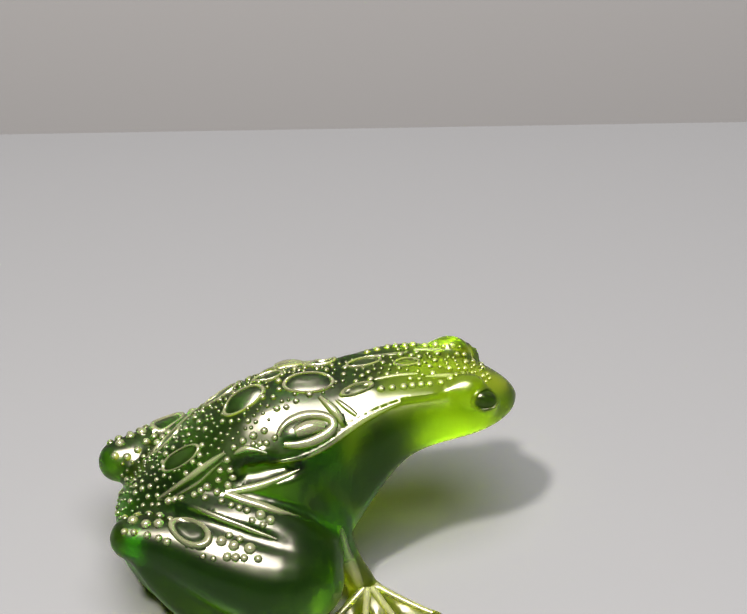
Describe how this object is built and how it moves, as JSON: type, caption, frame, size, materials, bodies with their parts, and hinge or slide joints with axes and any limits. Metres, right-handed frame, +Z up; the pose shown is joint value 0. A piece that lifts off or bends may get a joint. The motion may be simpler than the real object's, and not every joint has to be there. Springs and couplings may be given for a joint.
{
  "type": "glass frog figurine",
  "caption": "Sitting frog figurine moulded in one piece of satin green glass, with a raised head, folded hind legs, webbed feet and a flat underside to stand on.",
  "frame": {"origin": "middle of the footprint, on the surface the frog stands on", "axes": "+X runs forward to the snout, +Y is the frog's left, +Z up"},
  "size_m": [0.098, 0.0784, 0.054],
  "materials": {
    "satin_green_glass": "satin acid-frosted, translucent green through the whole mass"
  },
  "bodies": {
    "root": {"torso": "satin_green_glass", "head": "satin_green_glass", "left_eye": "satin_green_glass", "right_eye": "satin_green_glass", "left_thigh": "satin_green_glass", "right_thigh": "satin_green_glass", "left_shank": "satin_green_glass", "right_shank": "satin_green_glass", "left_tarsus": "satin_green_glass", "right_tarsus": "satin_green_glass", "left_hind_foot": "satin_green_glass", "right_hind_foot": "satin_green_glass", "left_upper_arm": "satin_green_glass", "right_upper_arm": "satin_green_glass", "left_forearm": "satin_green_glass", "right_forearm": "satin_green_glass", "left_hand": "satin_green_glass", "right_hand": "satin_green_glass"}
  },
  "joints": []
}
